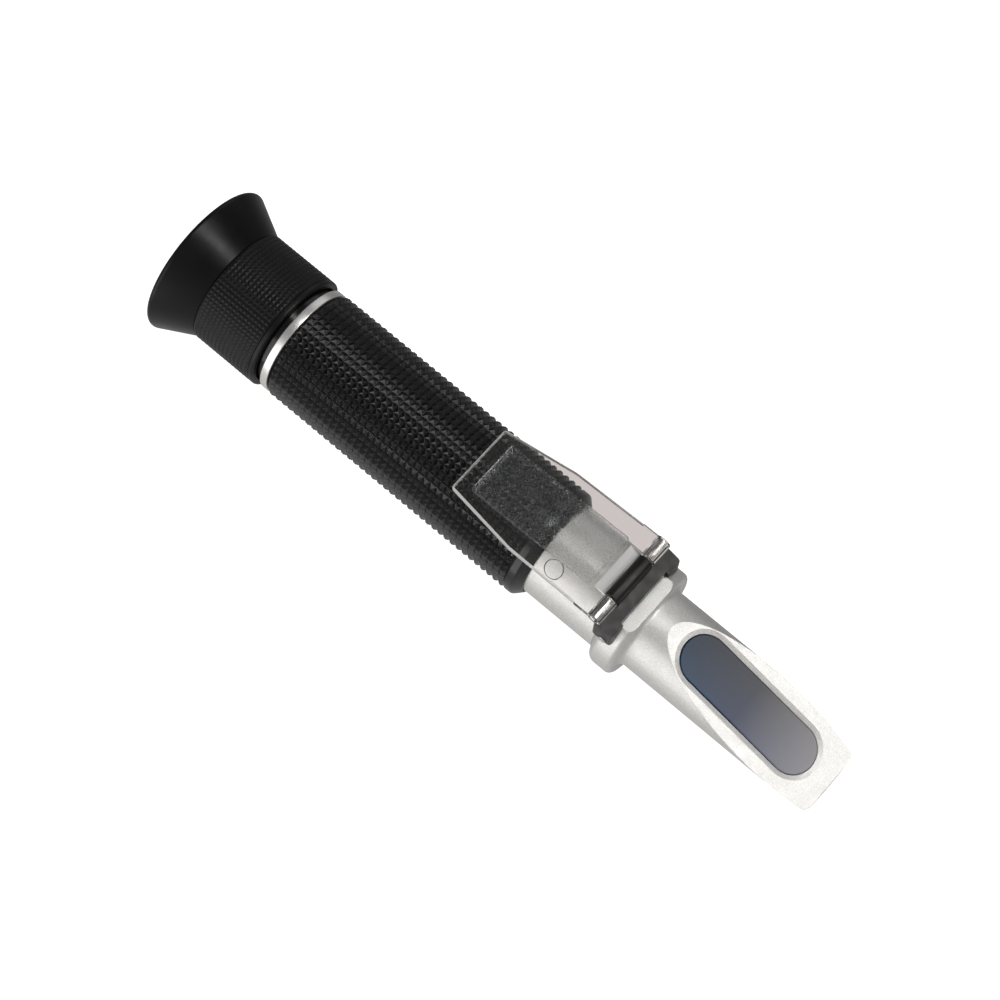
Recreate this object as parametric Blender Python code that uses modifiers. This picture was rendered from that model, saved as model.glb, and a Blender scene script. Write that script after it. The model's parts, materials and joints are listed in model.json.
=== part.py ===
"""Hand-held refractometer, modelled in metres.

The optical axis is the X axis, with the nose at +X and the eyecup at -X, and +Z is up, the side
that the prism face and the flap are on.  The origin is the centre of the whole object, on the axis.
Lengths below are written in millimetres and turned into metres by MM.
"""
import bpy
import bmesh
from math import cos, pi, radians, sin, sqrt, tan
from mathutils import Matrix, Vector

MM = 0.001
GAP = 0.15                      # seam left between two pieces that touch on the real object
LOOSE = 0.3                     # clearance between pieces that move past each other

# Driving dimensions, all in millimetres.
TOTAL_LENGTH = 166.1
EYECUP_RADIUS = 17.28
EYECUP_DEPTH = 9.3
FOCUS_RING_RADIUS = 13.2
FOCUS_RING_LENGTH = 16.2
FOCUS_CORE_RADIUS = 11.4
FOCUS_GAP = 1.4                 # focus core seen between the focus ring and the bezel ring
BEZEL_RADIUS = 12.4
BEZEL_WIDTH = 1.8
GRIP_RADIUS = 12.6
GRIP_WALL = 1.3
GRIP_NOSE_LENGTH = 3.2          # smooth rounded front end of the grip
TUBE_RADIUS = 10.3
TUBE_BORE = 8.3
BARREL_RADIUS = 9.15
BARREL_BORE = 7.9
COLLAR_RADIUS = 12.5
NOSE_RADIUS = 9.1
FACE_ANGLE = radians(18.7)      # slope of the prism face below the optical axis
WINDOW_RADIUS = 5.17            # half the width of the round-ended prism window
WINDOW_SPAN = 24.5              # distance between the centres of the window's round ends
BEVEL_WIDTH = 1.0
PIN_RADIUS = 0.75
KNUCKLE_RADIUS = 1.65
FLAP_WIDTH = 21.2
FLAP_KINK_WIDTH = 20.7
FLAP_END_WIDTH = 16.0
FLAP_LENGTH = 38.4              # hinge axis to the flap's free edge
FLAP_KINK = 21.7                # hinge axis to where the sides begin to taper
FLAP_THICKNESS = 1.5
FLAP_CHAMFER = 0.8
PAD_START = 5.0                 # hinge axis to the diffuser pad
PAD_LENGTH = 29.9
PAD_WIDTH = 12.3
PAD_THICKNESS = 1.2
OPEN_ANGLE = radians(2.6)       # the open flap slopes down to the grip by this much
EAR_INNER = 5.55                # half the distance between the flap's two ears

# Stations along the axis, in millimetres from the origin.
EYECUP_END = -TOTAL_LENGTH / 2
NOSE_END = TOTAL_LENGTH / 2
RING_BACK = EYECUP_END + EYECUP_DEPTH
RING_FRONT = RING_BACK + FOCUS_RING_LENGTH
BEZEL_BACK = RING_FRONT + FOCUS_GAP
BEZEL_FRONT = BEZEL_BACK + BEZEL_WIDTH
GRIP_BACK = BEZEL_FRONT + GAP
GRIP_FRONT = 12.6
TUBE_FRONT = 30.25
COLLAR_BACK = TUBE_FRONT + GAP
COLLAR_FRONT = 35.1
NOSE_START = 37.4
FACE_START = 41.2               # where the prism face meets the top of the nose
WINDOW_CENTRE = 61.7
HINGE = Vector((29.7, 0.0, 15.4))
SEAT_HEIGHT = 10.5              # flat milled on the collar for the hinge block
SEAT_FRONT = 38.0                  # the seat runs through the collar, under the closed flap
CAL_STATION = 16.3
CAL_ANGLE = radians(36.0)       # calibration hole, turned from the top towards -Y

SEGMENTS = 48
FINE = 24

BLACK_RUBBER = ("black_rubber", (0.018, 0.018, 0.019), 0.62, 0.0, 1.0)
BLACK_PLASTIC = ("black_plastic", (0.022, 0.021, 0.020), 0.38, 0.0, 1.0)
ALUMINIUM = ("satin_aluminium", (0.68, 0.67, 0.65), 0.42, 1.0, 1.0)
CHROME = ("polished_metal", (0.82, 0.82, 0.82), 0.12, 1.0, 1.0)
STEEL = ("steel", (0.62, 0.60, 0.58), 0.25, 1.0, 1.0)
CLEAR = ("clear_plastic", (0.93, 0.95, 0.96), 0.05, 0.0, 0.25)
FROSTED = ("frosted_plastic", (0.80, 0.83, 0.84), 0.55, 0.0, 0.6)
PRISM_GLASS = ("prism_glass", (0.20, 0.23, 0.30), 0.08, 0.0, 1.0)
LENS_GLASS = ("lens_glass", (0.80, 0.86, 0.90), 0.03, 0.0, 0.3)


def clear_scene():
    for item in list(bpy.data.objects):
        bpy.data.objects.remove(item, do_unlink=True)


def new_collection(name):
    group = bpy.data.collections.new(name)
    bpy.context.scene.collection.children.link(group)
    return group


def material(spec):
    name, colour, roughness, metallic, alpha = spec
    found = bpy.data.materials.get(name)
    if found:
        return found
    made = bpy.data.materials.new(name)
    made.use_nodes = True
    shader = made.node_tree.nodes["Principled BSDF"]
    shader.inputs["Base Color"].default_value = (*colour, 1.0)
    shader.inputs["Roughness"].default_value = roughness
    shader.inputs["Metallic"].default_value = metallic
    shader.inputs["Alpha"].default_value = alpha
    return made


def add_mesh(name, mesh, group, spec=None):
    item = bpy.data.objects.new(name, mesh)
    group.objects.link(item)
    if spec:
        mesh.materials.append(material(spec))
    return item


def arc(centre_x, centre_r, radius, start, end, steps):
    """Points of a round stretch of a turned profile, as (x, r), angles in degrees from +X."""
    points = []
    for step in range(steps + 1):
        angle = radians(start + (end - start) * step / steps)
        points.append((centre_x + radius * cos(angle), centre_r + radius * sin(angle)))
    return points


def turned(name, profile, group, spec=None, segments=SEGMENTS):
    """A solid turned about the X axis from a closed outline of (x, r) points.

    The outline runs along the outer side towards -X and back along the inner side.
    """
    mesh = bpy.data.meshes.new(name)
    form = bmesh.new()
    verts = [form.verts.new((r * MM, 0.0, x * MM)) for x, r in profile]
    for index, vert in enumerate(verts):
        following = verts[(index + 1) % len(verts)]
        if vert.co.x < 1e-9 and following.co.x < 1e-9:
            continue
        form.edges.new((vert, following))
    form.to_mesh(mesh)
    form.free()
    item = add_mesh(name, mesh, group, spec)
    screw = item.modifiers.new("turn", "SCREW")
    screw.axis = "Z"
    screw.steps = segments
    screw.render_steps = segments
    screw.use_merge_vertices = True
    screw.merge_threshold = 0.000001
    screw.use_normal_calculate = False
    item.rotation_euler = (0.0, pi / 2, 0.0)
    return item


def ring(name, x_back, x_front, inner, outer, group, spec=None, segments=SEGMENTS):
    profile = [(x_front, outer), (x_back, outer), (x_back, inner), (x_front, inner)]
    return turned(name, profile, group, spec, segments)


def disc(name, x_back, x_front, radius, group, spec=None, segments=SEGMENTS):
    profile = [(x_front, 0.0), (x_front, radius), (x_back, radius), (x_back, 0.0)]
    return turned(name, profile, group, spec, segments)


def box(name, low, high, group, spec=None):
    mesh = bpy.data.meshes.new(name)
    form = bmesh.new()
    bmesh.ops.create_cube(form, size=1.0)
    low_corner = Vector(low) * MM
    high_corner = Vector(high) * MM
    size = high_corner - low_corner
    centre = (low_corner + high_corner) / 2
    bmesh.ops.scale(form, vec=size, verts=form.verts)
    bmesh.ops.translate(form, vec=centre, verts=form.verts)
    form.to_mesh(mesh)
    form.free()
    return add_mesh(name, mesh, group, spec)


def rod(name, start, end, radius, group, spec=None, segments=FINE):
    """A plain round bar between two points given in millimetres."""
    start_point = Vector(start) * MM
    end_point = Vector(end) * MM
    along = end_point - start_point
    mesh = bpy.data.meshes.new(name)
    form = bmesh.new()
    bmesh.ops.create_cone(form, cap_ends=True, segments=segments, radius1=radius * MM,
                          radius2=radius * MM, depth=along.length)
    form.to_mesh(mesh)
    form.free()
    item = add_mesh(name, mesh, group, spec)
    item.location = (start_point + end_point) / 2
    item.rotation_mode = "QUATERNION"
    item.rotation_quaternion = Vector((0, 0, 1)).rotation_difference(along)
    return item


def combine(item, other, operation):
    change = item.modifiers.new(operation.lower(), "BOOLEAN")
    change.operation = operation
    change.solver = "EXACT"
    change.object = other
    return change


def as_tool(item):
    """Marks an object as a cutter or a joined piece, which is not a part of its own."""
    item.hide_render = True
    item.display_type = "WIRE"
    return item


def cut(item, *cutters):
    for cutter in cutters:
        combine(item, as_tool(cutter), "DIFFERENCE")


def join(item, *pieces):
    for piece in pieces:
        combine(item, as_tool(piece), "UNION")


def bevel(item, width, segments=2, angle=radians(30)):
    edge = item.modifiers.new("bevel", "BEVEL")
    edge.width = width * MM
    edge.segments = segments
    edge.limit_method = "ANGLE"
    edge.angle_limit = angle
    return edge


def smooth(item, angle=radians(35)):
    item.data.shade_smooth()
    item.data.set_sharp_from_angle(angle=angle)


def stadium_loop(radius, span, steps=12):
    """Outline of a round-ended slot in its own plane, counter-clockwise from above."""
    points = []
    for end in (1, -1):
        for step in range(steps + 1):
            angle = -pi / 2 + pi * step / steps
            if end < 0:
                angle += pi
            points.append((end * span / 2 + radius * cos(angle), radius * sin(angle)))
    return points


def tapered_stadium(name, levels, span, group, spec=None):
    """A loft between round-ended outlines, given as (height, radius) from the lowest up."""
    mesh = bpy.data.meshes.new(name)
    form = bmesh.new()
    loops = []
    for height, radius in levels:
        loop = [form.verts.new((x * MM, y * MM, height * MM)) for x, y in stadium_loop(radius, span)]
        loops.append(loop)
    form.faces.new(list(reversed(loops[0])))
    form.faces.new(loops[-1])
    for lower, upper in zip(loops, loops[1:]):
        count = len(lower)
        for index in range(count):
            after = (index + 1) % count
            form.faces.new((lower[index], lower[after], upper[after], upper[index]))
    form.to_mesh(mesh)
    form.free()
    return add_mesh(name, mesh, group, spec)


def face_height(x):
    """Height of the prism face's plane above the axis at station x."""
    return NOSE_RADIUS - (x - FACE_START) * tan(FACE_ANGLE)


def on_face(item, lift=0.0):
    """Places an object drawn flat at the origin onto the prism face's window centre."""
    normal = Vector((sin(FACE_ANGLE), 0.0, cos(FACE_ANGLE)))
    centre = Vector((WINDOW_CENTRE, 0.0, face_height(WINDOW_CENTRE)))
    item.location = (centre + normal * lift) * MM
    item.rotation_euler = (0.0, FACE_ANGLE, 0.0)
    return item


def slab_above_face(name, lift, x_start, x_end, tools):
    """A thick cutter whose underside is parallel to the prism face and lift above it."""
    slab = box(name, (x_start, -20.0, 0.0), (x_end, 20.0, 30.0), tools)
    corner = Vector((FACE_START, 0.0, NOSE_RADIUS))
    normal = Vector((sin(FACE_ANGLE), 0.0, cos(FACE_ANGLE)))
    turn = Matrix.Rotation(FACE_ANGLE, 4, "Y")
    place = Matrix.Translation((corner + normal * lift) * MM)
    slab.matrix_world = place @ turn
    return slab


# ---------------------------------------------------------------- eyepiece

def make_eyecup(group):
    lip = 1.0
    wall_mid = RING_BACK - 1.2
    outer = arc(EYECUP_END + lip, EYECUP_RADIUS - lip, lip, 60.0, 180.0, 4)
    profile = [(RING_BACK, 13.1)]
    profile += outer
    profile += [
        (EYECUP_END + 0.5, EYECUP_RADIUS - 1.9),
        (EYECUP_END + 1.6, EYECUP_RADIUS - 2.7),
        (wall_mid, 11.2),
        (wall_mid, 8.3),
        (RING_BACK, 8.3),
    ]
    smooth(turned("eyecup", profile, group, BLACK_RUBBER))


def make_focus_ring(group):
    edge = 0.55
    back = RING_BACK + GAP
    profile = [(RING_FRONT, FOCUS_CORE_RADIUS + GAP + 0.3)]
    profile += arc(RING_FRONT - edge, FOCUS_RING_RADIUS - edge, edge, 0.0, 90.0, 3)
    profile += [
        (RING_FRONT - 1.55, FOCUS_RING_RADIUS),
        (RING_FRONT - 1.65, FOCUS_RING_RADIUS - 0.15),
        (RING_FRONT - 1.75, FOCUS_RING_RADIUS),
        (back, FOCUS_RING_RADIUS),
        (back, FOCUS_CORE_RADIUS + GAP),
        (RING_FRONT - 0.6, FOCUS_CORE_RADIUS + GAP),
    ]
    smooth(turned("focus_ring", profile, group, BLACK_RUBBER))


def make_focus_core(group):
    """Threaded sleeve that the focus ring grips; its front end shows in the gap."""
    back = RING_BACK + GAP
    front = BEZEL_BACK + 0.2
    bore = BARREL_RADIUS + LOOSE
    profile = [
        (front, bore),
        (front, FOCUS_CORE_RADIUS - 0.2),
        (front - 0.2, FOCUS_CORE_RADIUS),
        (back, FOCUS_CORE_RADIUS),
        (back, bore),
    ]
    smooth(turned("focus_core", profile, group, BLACK_PLASTIC))


def make_eyepiece_barrel(group):
    back = RING_BACK + 1.0
    front = -38.0
    groove = -47.0
    profile = [
        (front, BARREL_BORE),
        (front, BARREL_RADIUS),
        (groove + 0.8, BARREL_RADIUS),
        (groove + 0.8, BARREL_RADIUS - 0.7),
        (groove - 0.8, BARREL_RADIUS - 0.7),
        (groove - 0.8, BARREL_RADIUS),
        (back, BARREL_RADIUS),
        (back, BARREL_BORE),
    ]
    smooth(turned("eyepiece_barrel", profile, group, BLACK_PLASTIC, FINE))
    seal = arc(groove, BARREL_RADIUS - 0.3, 0.4, 0.0, 315.0, 7)
    smooth(turned("barrel_seal", seal, group, BLACK_RUBBER, FINE))


def lens(name, x_back, x_front, radius, bulge, group, steps=3):
    """A glass disc with both faces domed by bulge."""
    sphere = (radius * radius + bulge * bulge) / (2 * bulge)
    profile = []
    for step in range(steps + 1):
        r = radius * step / steps
        profile.append((x_front - bulge + sqrt(sphere * sphere - r * r) - sphere + bulge, r))
    for step in range(steps, -1, -1):
        r = radius * step / steps
        profile.append((x_back + bulge - (sqrt(sphere * sphere - r * r) - sphere + bulge), r))
    smooth(turned(name, profile, group, LENS_GLASS, FINE))


def make_lenses(group):
    radius = BARREL_BORE - GAP
    lens("eye_lens", -70.6, -67.4, radius, 1.0, group)
    ring("lens_retainer", -72.2, -70.2, 6.6, radius, group, BLACK_PLASTIC, FINE)
    lens("field_lens", -46.0, -43.0, radius, 0.8, group)
    ring("field_lens_ring", -41.9, -40.4, 6.6, radius, group, BLACK_PLASTIC, FINE)


# -------------------------------------------------------------------- body

def make_bezel_ring(group):
    """Bright ring behind the grip, hollowed so that the focus core can run into it."""
    bore = FOCUS_CORE_RADIUS + 0.35
    web = BEZEL_FRONT - 0.5
    edge = 0.25
    profile = [(BEZEL_FRONT, BARREL_RADIUS + LOOSE)]
    profile += [(BEZEL_FRONT, BEZEL_RADIUS - edge), (BEZEL_FRONT - edge, BEZEL_RADIUS)]
    profile += arc(BEZEL_BACK + edge, BEZEL_RADIUS - edge, edge, 90.0, 180.0, 3)
    profile += [(BEZEL_BACK, bore), (web, bore), (web, BARREL_RADIUS + LOOSE)]
    smooth(turned("bezel_ring", profile, group, CHROME))


def calibration_axis(radius):
    """A point on the calibration hole's axis at this distance from the optical axis."""
    return (CAL_STATION, -radius * sin(CAL_ANGLE), radius * cos(CAL_ANGLE))


def make_body_tube(group, tools):
    under_grip = GRIP_RADIUS - GRIP_WALL - GAP
    step_end = -36.0
    profile = [
        (TUBE_FRONT, TUBE_BORE),
        (TUBE_FRONT, TUBE_RADIUS),
        (GRIP_FRONT - 4.0, TUBE_RADIUS),
        (GRIP_FRONT - 5.0, under_grip),
        (GRIP_BACK, under_grip),
        (GRIP_BACK, BARREL_RADIUS + LOOSE),
        (step_end, BARREL_RADIUS + LOOSE),
        (step_end, TUBE_BORE),
    ]
    tube = turned("body_tube", profile, group, ALUMINIUM)
    cut(tube, rod("cap_hole", calibration_axis(9.3), calibration_axis(12.0), 2.1, tools),
        rod("screw_hole", calibration_axis(7.0), calibration_axis(9.6), 1.65, tools))
    smooth(tube)


def make_calibration(group, tools):
    cap = rod("calibration_cap", calibration_axis(9.65), calibration_axis(10.3), 1.95, group,
              ALUMINIUM)
    smooth(cap)
    screw = rod("calibration_screw", calibration_axis(7.4), calibration_axis(9.25), 1.5, group,
                STEEL)
    slot = box("screw_slot", (-0.25, -2.0, 0.5), (0.25, 2.0, 3.0), tools)
    slot.location = screw.location
    slot.rotation_mode = "QUATERNION"
    slot.rotation_quaternion = screw.rotation_quaternion
    cut(screw, slot)
    smooth(screw)


def make_grip(group):
    inner = GRIP_RADIUS - GRIP_WALL
    band = GRIP_RADIUS - 0.1
    nose = GRIP_FRONT - GRIP_NOSE_LENGTH
    neck = TUBE_RADIUS + GAP
    profile = [(GRIP_FRONT, neck)]
    profile += [
        (GRIP_FRONT - 0.15, neck + 0.25),
        (GRIP_FRONT - 1.5, band - 0.38),
        (GRIP_FRONT - 1.85, band - 0.1),
        (GRIP_FRONT - 2.2, band),
        (nose, band),
        (nose - 0.1, GRIP_RADIUS),
        (GRIP_BACK + 0.3, GRIP_RADIUS),
        (GRIP_BACK, GRIP_RADIUS - 0.3),
        (GRIP_BACK, inner),
        (GRIP_FRONT - 5.0, inner),
        (GRIP_FRONT - 3.9, neck),
    ]
    smooth(turned("grip_sleeve", profile, group, BLACK_RUBBER))


def make_optics(group):
    radius = TUBE_BORE - GAP
    disc("reticle", -33.6, -32.4, radius, group, LENS_GLASS, FINE)
    ring("reticle_ring", -32.2, -30.4, 6.9, radius, group, BLACK_PLASTIC, FINE)
    ring("objective_cell", 18.9, 23.9, 6.6, radius, group, BLACK_PLASTIC, FINE)
    lens("objective_lens", 20.0, 22.8, 6.6 - GAP, 0.8, group)


# -------------------------------------------------------------------- head

def make_prism_housing(group, tools):
    bore = 6.2
    profile = [(NOSE_END, 0.0), (NOSE_END, NOSE_RADIUS), (NOSE_START, NOSE_RADIUS)]
    fillet = 1.2
    profile += [
        (NOSE_START - 0.25, NOSE_RADIUS + 0.12),
        (NOSE_START - 0.5, NOSE_RADIUS + 0.45),
        (NOSE_START - 0.75, NOSE_RADIUS + 1.05),
    ]
    profile += arc(COLLAR_FRONT + 0.2, COLLAR_RADIUS - fillet, fillet, 30.0, 90.0, 4)
    profile += arc(COLLAR_BACK + 2.1, COLLAR_RADIUS - 2.1, 2.1, 90.0, 180.0, 5)
    profile += [(COLLAR_BACK, TUBE_BORE), (COLLAR_BACK + 3.0, TUBE_BORE)]
    profile += [(COLLAR_BACK + 3.0, bore), (48.0, bore), (48.0, 0.0)]
    head = turned("prism_housing", profile, group, ALUMINIUM)
    seat = box("block_seat", (COLLAR_BACK - 1.0, -15.0, SEAT_HEIGHT), (SEAT_FRONT, 15.0, 16.0), tools)
    face = slab_above_face("face_plane", 0.0, 0.0, 60.0, tools)
    bevel_depth = 0.45
    slope = BEVEL_WIDTH / bevel_depth
    wall = WINDOW_RADIUS + GAP
    pocket = tapered_stadium("prism_pocket", [
        (-4.4, wall),
        (-bevel_depth, wall),
        (0.1, wall + slope * (bevel_depth + 0.1)),
    ], WINDOW_SPAN, tools)
    cut(head, seat, face, on_face(pocket))
    for side in (-1, 1):
        hole = rod("wing_hole", (32.4, side * 7.0, 8.2), (32.4, side * 13.0, 8.2), 0.65, tools,
                   segments=16)
        cut(head, hole)
    smooth(head)


def make_prism(group):
    glass = tapered_stadium("prism", [(-3.7, WINDOW_RADIUS), (-0.1, WINDOW_RADIUS)], WINDOW_SPAN,
                            group, PRISM_GLASS)
    on_face(glass)
    smooth(glass)


def make_prism_gasket(group, tools):
    gasket = tapered_stadium("prism_gasket", [(-4.25, WINDOW_RADIUS), (-3.85, WINDOW_RADIUS)],
                             WINDOW_SPAN, group, BLACK_RUBBER)
    hole = tapered_stadium("gasket_hole", [(-5.0, WINDOW_RADIUS - 1.0), (-3.0, WINDOW_RADIUS - 1.0)],
                           WINDOW_SPAN, tools)
    on_face(gasket)
    cut(gasket, on_face(hole))
    smooth(gasket)


def make_hinge_block(group, tools):
    """Saddle on the collar's milled seat, with the barrel that holds the hinge pin."""
    half = 10.6
    centre_front = 33.7
    wing_front = 34.4
    block = box("hinge_block", (HINGE.x, -half, 6.6), (wing_front, half, 15.0), group, BLACK_PLASTIC)
    bevel(block, 0.9, 3)
    hollow = rod("collar_hollow", (20.0, 0.0, 0.0), (45.0, 0.0, 0.0), COLLAR_RADIUS + 0.2, tools,
                 segments=SEGMENTS)
    above_seat = box("above_seat", (15.0, -20.0, SEAT_HEIGHT + GAP), (50.0, 20.0, 20.0), tools)
    cut(hollow, above_seat)
    slope = slab_above_face("block_slope", 1.1, -20.0, 10.0, tools)
    front_step = box("front_step", (centre_front, -6.9, 5.0), (40.0, 6.9, 20.0), tools)
    cut(block, hollow, slope, front_step)
    barrel = rod("hinge_barrel", (HINGE.x, -EAR_INNER + LOOSE, HINGE.z),
                 (HINGE.x, EAR_INNER - LOOSE, HINGE.z), KNUCKLE_RADIUS, tools)
    web = box("barrel_web", (HINGE.x, -EAR_INNER + LOOSE, 12.0),
              (HINGE.x + 1.6, EAR_INNER - LOOSE, 14.6), tools)
    rear = box("block_rear", (HINGE.x - 1.2, -EAR_INNER + LOOSE, SEAT_HEIGHT + GAP),
               (HINGE.x + 1.0, EAR_INNER - LOOSE, HINGE.z - 0.2), tools)
    join(block, web, rear, barrel)
    for side in (-1, 1):
        near = side * (EAR_INNER - LOOSE)
        far = side * (half + 1.0)
        cut(block, rod("ear_clearance", (HINGE.x, near, HINGE.z), (HINGE.x, far, HINGE.z),
                       KNUCKLE_RADIUS + LOOSE, tools))
        cut(block, rod("wing_screw_hole", (32.4, side * 8.0, 8.2), (32.4, side * 13.0, 8.2), 0.65,
                       tools, segments=16))
        cut(block, rod("wing_counterbore", (32.4, side * (half - 0.45), 8.2),
                       (32.4, side * 13.0, 8.2), 1.05, tools, segments=16))
    cut(block, rod("pin_bore", (HINGE.x, -12.0, HINGE.z), (HINGE.x, 12.0, HINGE.z),
                   PIN_RADIUS + 0.15, tools, segments=24))
    smooth(block)


def make_wing_screws(group):
    for side, word in ((-1, "left"), (1, "right")):
        shank = 0.5
        head_radius = 0.9
        name = "wing_screw_" + word
        profile = [(3.3, 0.0), (3.3, head_radius - 0.15), (3.15, head_radius), (2.8, head_radius),
                   (2.8, shank), (0.0, shank), (0.0, 0.0)]
        screw = turned(name, profile, group, STEEL, 24)
        screw.rotation_euler = (-side * pi / 2, 0.0, 0.0)
        screw.location = (32.4 * MM, side * 7.6 * MM, 8.2 * MM)
        smooth(screw)


# -------------------------------------------------------------------- flap

def flap_frame():
    """Turns flap coordinates into the model's: x runs from the hinge to the free edge."""
    turn = Matrix.Rotation(pi, 4, "Z") @ Matrix.Rotation(OPEN_ANGLE, 4, "Y")
    return Matrix.Translation(HINGE * MM) @ turn


def flap_levels():
    """Heights of the plate's outer face, its inner face and the pad, above the hinge axis."""
    inward = (HINGE.z - face_height(HINGE.x)) * cos(FACE_ANGLE)
    pad_face = inward - 0.2
    inner = pad_face - PAD_THICKNESS
    return inner - FLAP_THICKNESS, inner, pad_face


def plate_outline(inset):
    """Half-width of the plate at each station where its outline turns."""
    return [
        (2.2 + inset, FLAP_WIDTH / 2 - inset),
        (FLAP_KINK, FLAP_KINK_WIDTH / 2 - inset),
        (FLAP_LENGTH - inset, FLAP_END_WIDTH / 2 - inset),
    ]


def make_flap(group, tools):
    outer, inner, pad_face = flap_levels()
    mesh = bpy.data.meshes.new("daylight_flap")
    form = bmesh.new()
    levels = ((outer, 0.0), (inner - FLAP_CHAMFER, 0.0), (inner, FLAP_CHAMFER))
    loops = []
    for height, inset in levels:
        side = plate_outline(inset)
        outline = [(x, y) for x, y in side] + [(x, -y) for x, y in reversed(side)]
        loops.append([form.verts.new((x * MM, y * MM, height * MM)) for x, y in outline])
    form.faces.new(loops[0])
    form.faces.new(list(reversed(loops[-1])))
    for lower, upper in zip(loops, loops[1:]):
        count = len(lower)
        for index in range(count):
            after = (index + 1) % count
            form.faces.new((lower[after], lower[index], upper[index], upper[after]))
    form.to_mesh(mesh)
    form.free()
    flap = add_mesh("daylight_flap", mesh, group, CLEAR)
    flap.matrix_world = flap_frame()
    pieces = []
    for side in (-1, 1):
        near = side * EAR_INNER
        far = side * FLAP_WIDTH / 2
        low, high = min(near, far), max(near, far)
        web = box("ear_web", (0.0, low, outer), (3.6, high, inner), tools)
        web.matrix_world = flap_frame()
        knuckle = rod("ear_knuckle", (HINGE.x, near, HINGE.z), (HINGE.x, far, HINGE.z),
                      KNUCKLE_RADIUS, tools)
        pieces += [web, knuckle]
    join(flap, *pieces)
    bore = rod("ear_bore", (HINGE.x, -14.0, HINGE.z), (HINGE.x, 14.0, HINGE.z),
               PIN_RADIUS + 0.15, tools, segments=24)
    cut(flap, bore)
    smooth(flap)
    low = (PAD_START, -PAD_WIDTH / 2, inner + 0.05)
    high = (PAD_START + PAD_LENGTH, PAD_WIDTH / 2, pad_face)
    pad = box("diffuser_pad", low, high, group, FROSTED)
    pad.matrix_world = flap_frame()
    bevel(pad, 0.25, 2)
    smooth(pad)


def make_hinge_pin(group):
    half = FLAP_WIDTH / 2 - 0.2
    pin = rod("hinge_pin", (HINGE.x, -half, HINGE.z), (HINGE.x, half, HINGE.z), PIN_RADIUS, group,
              STEEL, 24)
    bevel(pin, 0.15, 2, radians(60))
    smooth(pin)


def main():
    clear_scene()
    group = new_collection("refractometer")
    tools = new_collection("cutters")
    make_eyecup(group)
    make_focus_ring(group)
    make_focus_core(group)
    make_eyepiece_barrel(group)
    make_lenses(group)
    make_bezel_ring(group)
    make_body_tube(group, tools)
    make_calibration(group, tools)
    make_grip(group)
    make_optics(group)
    make_prism_housing(group, tools)
    make_prism(group)
    make_prism_gasket(group, tools)
    make_hinge_block(group, tools)
    make_wing_screws(group)
    make_flap(group, tools)
    make_hinge_pin(group)


main()
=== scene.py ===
"""The looks of the hand-held refractometer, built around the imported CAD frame.

Lengths are in metres and the optical axis is the X axis.  Outer sizes and places are read from
the CAD nodes' boxes.  The features inside those boxes are the named values below, as in the CAD.
"""
import json
from math import cos, pi, radians, sin, sqrt, tan

import bmesh
import bpy
from mathutils import Matrix, Vector


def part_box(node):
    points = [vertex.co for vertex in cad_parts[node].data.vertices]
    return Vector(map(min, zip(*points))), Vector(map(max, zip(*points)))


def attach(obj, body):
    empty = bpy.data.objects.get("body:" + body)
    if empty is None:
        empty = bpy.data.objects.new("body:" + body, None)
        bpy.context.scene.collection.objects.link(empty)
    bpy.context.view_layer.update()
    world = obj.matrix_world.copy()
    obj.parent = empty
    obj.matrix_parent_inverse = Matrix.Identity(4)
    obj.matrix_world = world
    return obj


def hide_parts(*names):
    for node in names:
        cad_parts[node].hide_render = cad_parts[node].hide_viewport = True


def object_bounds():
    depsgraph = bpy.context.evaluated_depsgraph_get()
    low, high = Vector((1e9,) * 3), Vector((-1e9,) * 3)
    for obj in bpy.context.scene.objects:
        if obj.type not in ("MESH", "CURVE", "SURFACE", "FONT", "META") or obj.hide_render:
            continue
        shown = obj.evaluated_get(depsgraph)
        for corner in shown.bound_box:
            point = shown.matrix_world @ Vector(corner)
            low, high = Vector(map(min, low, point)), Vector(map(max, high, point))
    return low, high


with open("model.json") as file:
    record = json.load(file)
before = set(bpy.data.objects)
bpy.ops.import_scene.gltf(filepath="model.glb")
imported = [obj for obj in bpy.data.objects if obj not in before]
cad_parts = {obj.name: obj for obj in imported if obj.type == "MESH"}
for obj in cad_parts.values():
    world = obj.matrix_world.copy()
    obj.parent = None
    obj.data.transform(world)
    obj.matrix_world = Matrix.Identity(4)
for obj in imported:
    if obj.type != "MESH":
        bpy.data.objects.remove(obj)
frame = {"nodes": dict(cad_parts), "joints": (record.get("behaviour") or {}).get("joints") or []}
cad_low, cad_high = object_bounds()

MM = 0.001
ROUND = 192                     # segments of the large turned pieces
FACE_ANGLE = radians(18.7)      # slope of the prism face, as in the CAD
OPEN_ANGLE = radians(2.6)       # slope of the open flap
CAL_ANGLE = radians(36.0)       # calibration hole, turned from the top towards -Y
CAL_STATION = 0.0163
TUBE_RADIUS = 10.3 * MM         # bare part of the body tube
TUBE_BORE = 8.3 * MM
BARREL_BORE = 9.45 * MM         # hole that the eyepiece barrel slides in
NOSE_RADIUS = 9.1 * MM
FACE_START = 41.2 * MM          # where the prism face meets the top of the nose
WINDOW_CENTRE = 61.7 * MM
WINDOW_RADIUS = 5.17 * MM
WINDOW_SPAN = 24.5 * MM         # distance between the centres of the window's round ends
WINDOW_BEVEL = 1.0 * MM
SEAT_HEIGHT = 10.5 * MM         # flat milled on the collar for the hinge block
SEAT_FRONT = 38.0 * MM
KNUCKLE_RADIUS = 1.65 * MM
PIN_HOLE_RADIUS = 0.9 * MM
WING_SCREW_STATION = 32.4 * MM
WING_SCREW_HEIGHT = 8.2 * MM
NOISE_LOW, NOISE_HIGH = 0.3, 0.7    # most of a noise texture's values lie between these
MIX_A, MIX_B, MIX_RESULT = 6, 7, 2  # the colour sockets of a Mix node
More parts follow.
